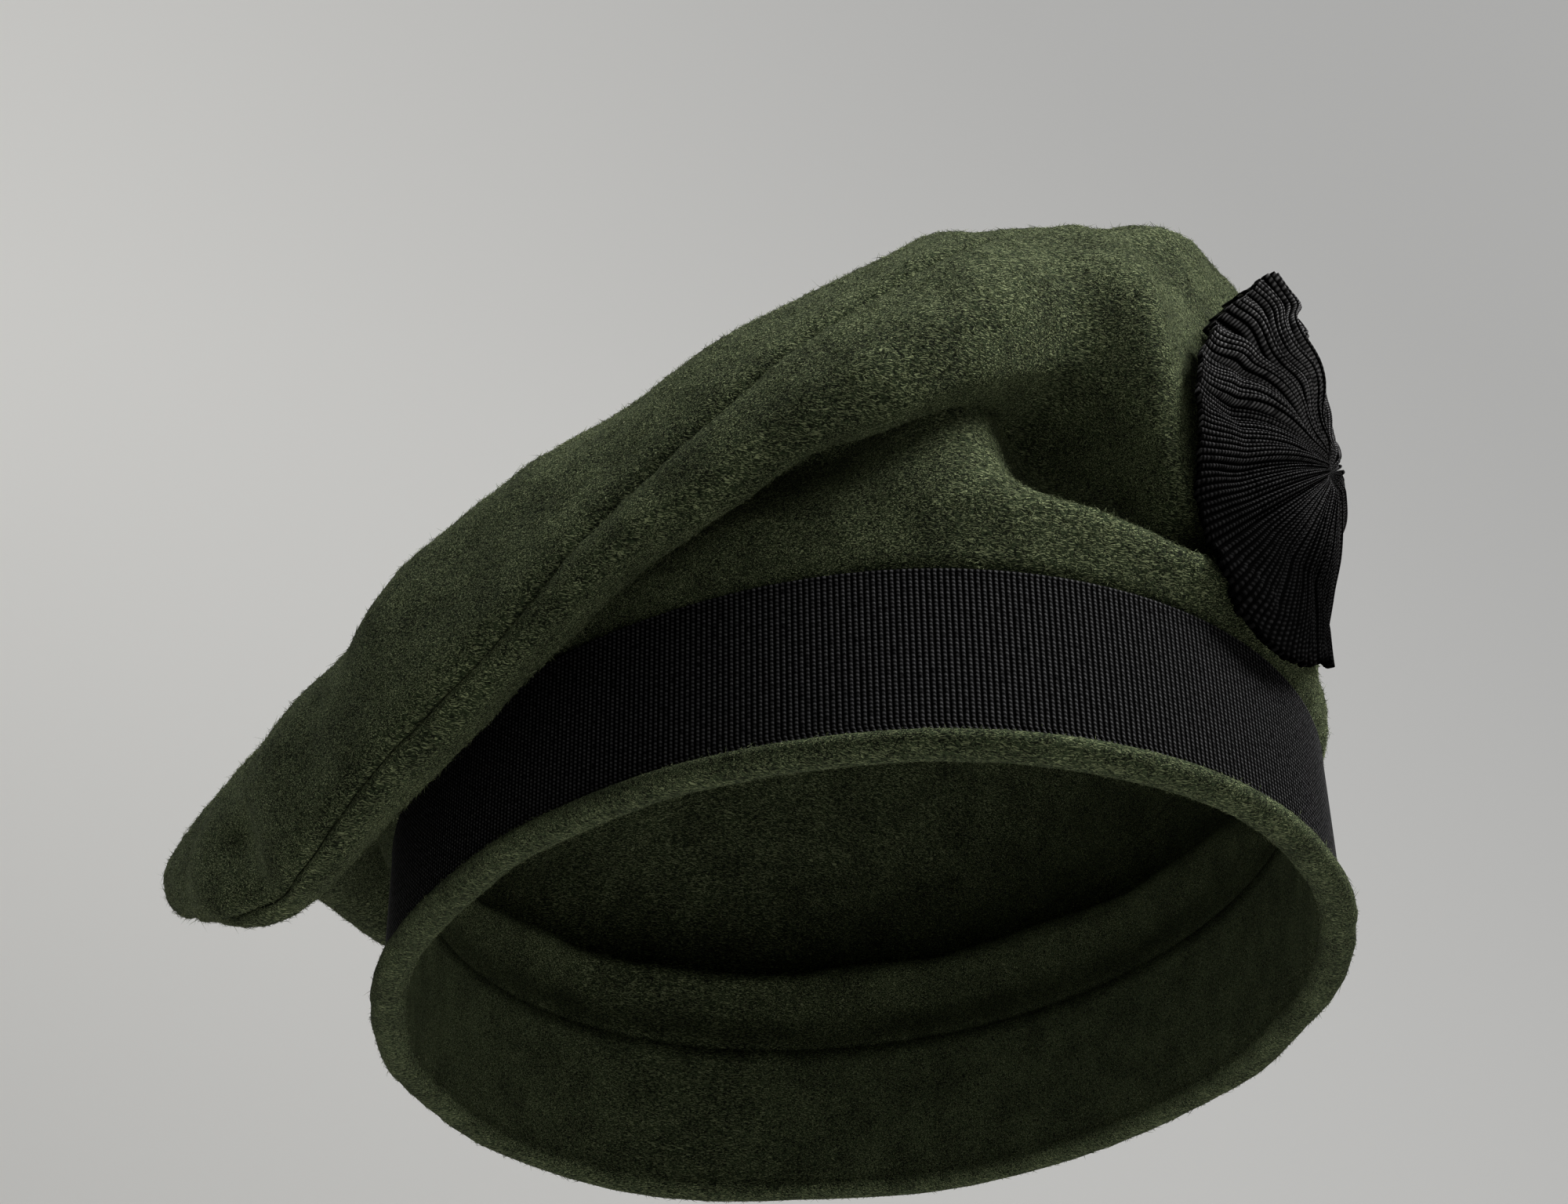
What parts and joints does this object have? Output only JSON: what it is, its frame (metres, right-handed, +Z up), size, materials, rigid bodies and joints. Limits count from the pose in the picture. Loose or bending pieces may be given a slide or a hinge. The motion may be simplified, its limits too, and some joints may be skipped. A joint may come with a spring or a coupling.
{
  "type": "caubeen, a soft wool bonnet with a ribbon headband and cockade",
  "caption": "Soft olive wool bonnet drawn down over the right side, with a ribbed black ribbon round the headband and a gathered ribbon cockade at the front left.",
  "frame": {"origin": "centre of the head opening, in the plane of the headband's lower rim", "axes": "+Z up out of the head opening towards the crown, -Y to the wearer's front, +X to the wearer's left"},
  "size_m": [0.226, 0.2426, 0.1403],
  "materials": {
    "olive_wool": "felted, matt, with a short nap",
    "black_ribbon": "ribbed grosgrain with a low sheen"
  },
  "bodies": {
    "root": {"crown_top": "olive_wool", "crown_side": "olive_wool", "headband": "olive_wool", "band_ribbon": "black_ribbon", "cockade": "black_ribbon"}
  },
  "joints": []
}
